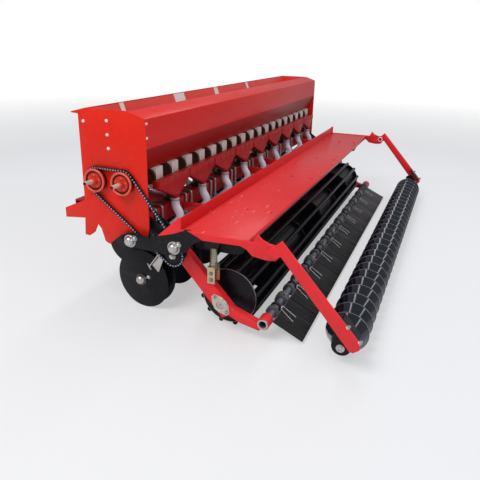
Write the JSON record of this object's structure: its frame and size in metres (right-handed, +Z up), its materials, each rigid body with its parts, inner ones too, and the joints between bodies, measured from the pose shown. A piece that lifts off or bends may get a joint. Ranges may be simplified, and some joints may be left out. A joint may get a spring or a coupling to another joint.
{
  "type": "mounted seed drill with cage roller and ring roller",
  "caption": "Mounted seed drill: open split hopper, metering units, hoses, disc openers, footboard, cage roller, flaps and trailing ring roller.",
  "frame": {"origin": "on the ground under the middle of the machine's box", "axes": "+X to the right across the machine, +Y forward to the hitch, +Z up"},
  "size_m": [3.366, 1.8049, 1.1343],
  "materials": {
    "hopper_red": "smooth gloss paint",
    "inner_red": "paint in shade, semi gloss",
    "frame_red": "gloss paint on rolled tube",
    "plank_red": "gloss paint on folded sheet",
    "arm_red": "gloss paint",
    "disc_black": "satin black paint on pressed steel",
    "cast_black": "satin black paint on castings",
    "roller_black": "high gloss blue black paint",
    "meter_plastic": "moulded off-white plastic",
    "hose_plastic": "translucent lilac-white hose",
    "clamp_green": "green paint on castings",
    "zinc_yellow": "yellow zinc plating",
    "bright_steel": "bright drawn steel",
    "chain_steel": "oiled roller chain",
    "flap_rubber": "stiff black rubber sheet"
  },
  "bodies": {
    "root": {"hopper_shell": "hopper_red", "hopper_divider": "inner_red", "left_plate": "hopper_red", "right_plate": "hopper_red", "frame_beams": "frame_red", "frame_rails": "frame_red", "arm_brackets": "cast_black", "chain_guard": "disc_black", "hitch_mast": "frame_red", "lower_links": "frame_red", "seed_meters": "meter_plastic", "feed_meters": "meter_plastic", "drive_chain": "chain_steel", "rear_funnels": "plank_red", "front_funnels": "plank_red", "rear_hoses": "hose_plastic", "front_hoses": "hose_plastic", "opener_shanks": "cast_black", "lead_shanks": "cast_black", "shank_clamps": "clamp_green", "scrapers": "bright_steel", "plank": "plank_red", "plank_brackets": "arm_red"},
    "roller_arm": {"roller_arms": "arm_red", "lift_screws": "zinc_yellow", "flap_tube": "bright_steel"},
    "cage_roller": {"cage_roller": "disc_black"},
    "flaps": {"flaps": "flap_rubber"},
    "rear_arm": {"rear_arms": "arm_red"},
    "ring_roller": {"ring_roller": "roller_black"},
    "seed_shaft": {"seed_shaft": "arm_red"},
    "feed_shaft": {"feed_shaft": "arm_red"},
    "jackshaft": {"jackshaft": "cast_black"},
    "disc_l1": {"disc_l1": "disc_black"},
    "disc_r1": {"disc_r1": "disc_black"},
    "lead_disc1": {"lead_disc1": "disc_black"},
    "disc_l2": {"disc_l2": "disc_black"},
    "disc_r2": {"disc_r2": "disc_black"},
    "lead_disc2": {"lead_disc2": "disc_black"},
    "disc_l3": {"disc_l3": "disc_black"},
    "disc_r3": {"disc_r3": "disc_black"},
    "lead_disc3": {"lead_disc3": "disc_black"},
    "disc_l4": {"disc_l4": "disc_black"},
    "disc_r4": {"disc_r4": "disc_black"},
    "lead_disc4": {"lead_disc4": "disc_black"},
    "disc_l5": {"disc_l5": "disc_black"},
    "disc_r5": {"disc_r5": "disc_black"},
    "lead_disc5": {"lead_disc5": "disc_black"},
    "disc_l6": {"disc_l6": "disc_black"},
    "disc_r6": {"disc_r6": "disc_black"},
    "lead_disc6": {"lead_disc6": "disc_black"},
    "disc_l7": {"disc_l7": "disc_black"},
    "disc_r7": {"disc_r7": "disc_black"},
    "lead_disc7": {"lead_disc7": "disc_black"},
    "disc_l8": {"disc_l8": "disc_black"},
    "disc_r8": {"disc_r8": "disc_black"},
    "lead_disc8": {"lead_disc8": "disc_black"},
    "disc_l9": {"disc_l9": "disc_black"},
    "disc_r9": {"disc_r9": "disc_black"},
    "lead_disc9": {"lead_disc9": "disc_black"}
  },
  "joints": [
    {"name": "roller_arm_lift", "type": "hinge", "parent": "root", "child": "roller_arm", "pos_m": [0, 0.0925, 0.427], "axis": [1, 0, 0], "range_deg": [-12, 12]},
    {"name": "cage_spin", "type": "hinge", "parent": "roller_arm", "child": "cage_roller", "pos_m": [0, -0.1475, 0.16981], "axis": [1, 0, 0], "continuous": true},
    {"name": "flap_swing", "type": "hinge", "parent": "roller_arm", "child": "flaps", "pos_m": [0, -0.3825, 0.108], "axis": [1, 0, 0], "range_deg": [-35, 55]},
    {"name": "rear_arm_float", "type": "hinge", "parent": "root", "child": "rear_arm", "pos_m": [0, -0.4625, 0.562], "axis": [1, 0, 0], "range_deg": [-30, 6]},
    {"name": "ring_spin", "type": "hinge", "parent": "rear_arm", "child": "ring_roller", "pos_m": [0, -0.7925, 0.11], "axis": [1, 0, 0], "continuous": true},
    {"name": "jack_spin", "type": "hinge", "parent": "root", "child": "jackshaft", "pos_m": [0, 0.0925, 0.427], "axis": [1, 0, 0], "continuous": true},
    {"name": "seed_spin", "type": "hinge", "parent": "root", "child": "seed_shaft", "pos_m": [0, 0.3725, 0.772], "axis": [1, 0, 0], "continuous": true},
    {"name": "feed_spin", "type": "hinge", "parent": "root", "child": "feed_shaft", "pos_m": [0, 0.5355, 0.772], "axis": [1, 0, 0], "continuous": true},
    {"name": "disc_l1_spin", "type": "hinge", "parent": "root", "child": "disc_l1", "pos_m": [-1.43379, 0.3805, 0.175], "axis": [0.9945, -0.1045, 0], "continuous": true},
    {"name": "disc_r1_spin", "type": "hinge", "parent": "root", "child": "disc_r1", "pos_m": [-1.38821, 0.3805, 0.175], "axis": [0.9945, 0.1045, 0], "continuous": true},
    {"name": "lead_disc1_spin", "type": "hinge", "parent": "root", "child": "lead_disc1", "pos_m": [-1.245, 0.5875, 0.3], "axis": [1, 0, 0], "continuous": true},
    {"name": "disc_l2_spin", "type": "hinge", "parent": "root", "child": "disc_l2", "pos_m": [-1.10179, 0.3805, 0.175], "axis": [0.9945, -0.1045, 0], "continuous": true},
    {"name": "disc_r2_spin", "type": "hinge", "parent": "root", "child": "disc_r2", "pos_m": [-1.05621, 0.3805, 0.175], "axis": [0.9945, 0.1045, 0], "continuous": true},
    {"name": "lead_disc2_spin", "type": "hinge", "parent": "root", "child": "lead_disc2", "pos_m": [-0.913, 0.5875, 0.3], "axis": [1, 0, 0], "continuous": true},
    {"name": "disc_l3_spin", "type": "hinge", "parent": "root", "child": "disc_l3", "pos_m": [-0.76979, 0.3805, 0.175], "axis": [0.9945, -0.1045, 0], "continuous": true},
    {"name": "disc_r3_spin", "type": "hinge", "parent": "root", "child": "disc_r3", "pos_m": [-0.72421, 0.3805, 0.175], "axis": [0.9945, 0.1045, 0], "continuous": true},
    {"name": "lead_disc3_spin", "type": "hinge", "parent": "root", "child": "lead_disc3", "pos_m": [-0.581, 0.5875, 0.3], "axis": [1, 0, 0], "continuous": true},
    {"name": "disc_l4_spin", "type": "hinge", "parent": "root", "child": "disc_l4", "pos_m": [-0.43779, 0.3805, 0.175], "axis": [0.9945, -0.1045, 0], "continuous": true},
    {"name": "disc_r4_spin", "type": "hinge", "parent": "root", "child": "disc_r4", "pos_m": [-0.39221, 0.3805, 0.175], "axis": [0.9945, 0.1045, 0], "continuous": true},
    {"name": "lead_disc4_spin", "type": "hinge", "parent": "root", "child": "lead_disc4", "pos_m": [-0.249, 0.5875, 0.3], "axis": [1, 0, 0], "continuous": true},
    {"name": "disc_l5_spin", "type": "hinge", "parent": "root", "child": "disc_l5", "pos_m": [-0.10579, 0.3805, 0.175], "axis": [0.9945, -0.1045, 0], "continuous": true},
    {"name": "disc_r5_spin", "type": "hinge", "parent": "root", "child": "disc_r5", "pos_m": [-0.06021, 0.3805, 0.175], "axis": [0.9945, 0.1045, 0], "continuous": true},
    {"name": "lead_disc5_spin", "type": "hinge", "parent": "root", "child": "lead_disc5", "pos_m": [0.083, 0.5875, 0.3], "axis": [1, 0, 0], "continuous": true},
    {"name": "disc_l6_spin", "type": "hinge", "parent": "root", "child": "disc_l6", "pos_m": [0.22621, 0.3805, 0.175], "axis": [0.9945, -0.1045, 0], "continuous": true},
    {"name": "disc_r6_spin", "type": "hinge", "parent": "root", "child": "disc_r6", "pos_m": [0.27179, 0.3805, 0.175], "axis": [0.9945, 0.1045, 0], "continuous": true},
    {"name": "lead_disc6_spin", "type": "hinge", "parent": "root", "child": "lead_disc6", "pos_m": [0.415, 0.5875, 0.3], "axis": [1, 0, 0], "continuous": true},
    {"name": "disc_l7_spin", "type": "hinge", "parent": "root", "child": "disc_l7", "pos_m": [0.55821, 0.3805, 0.175], "axis": [0.9945, -0.1045, 0], "continuous": true},
    {"name": "disc_r7_spin", "type": "hinge", "parent": "root", "child": "disc_r7", "pos_m": [0.60379, 0.3805, 0.175], "axis": [0.9945, 0.1045, 0], "continuous": true},
    {"name": "lead_disc7_spin", "type": "hinge", "parent": "root", "child": "lead_disc7", "pos_m": [0.747, 0.5875, 0.3], "axis": [1, 0, 0], "continuous": true},
    {"name": "disc_l8_spin", "type": "hinge", "parent": "root", "child": "disc_l8", "pos_m": [0.89021, 0.3805, 0.175], "axis": [0.9945, -0.1045, 0], "continuous": true},
    {"name": "disc_r8_spin", "type": "hinge", "parent": "root", "child": "disc_r8", "pos_m": [0.93579, 0.3805, 0.175], "axis": [0.9945, 0.1045, 0], "continuous": true},
    {"name": "lead_disc8_spin", "type": "hinge", "parent": "root", "child": "lead_disc8", "pos_m": [1.079, 0.5875, 0.3], "axis": [1, 0, 0], "continuous": true},
    {"name": "disc_l9_spin", "type": "hinge", "parent": "root", "child": "disc_l9", "pos_m": [1.22221, 0.3805, 0.175], "axis": [0.9945, -0.1045, 0], "continuous": true},
    {"name": "disc_r9_spin", "type": "hinge", "parent": "root", "child": "disc_r9", "pos_m": [1.26779, 0.3805, 0.175], "axis": [0.9945, 0.1045, 0], "continuous": true},
    {"name": "lead_disc9_spin", "type": "hinge", "parent": "root", "child": "lead_disc9", "pos_m": [1.411, 0.5875, 0.3], "axis": [1, 0, 0], "continuous": true}
  ],
  "couplings": [
    {"joint": "jack_spin", "follows": "cage_spin", "ratio": 1},
    {"joint": "seed_spin", "follows": "cage_spin", "ratio": 0.862},
    {"joint": "feed_spin", "follows": "cage_spin", "ratio": 0.862}
  ]
}
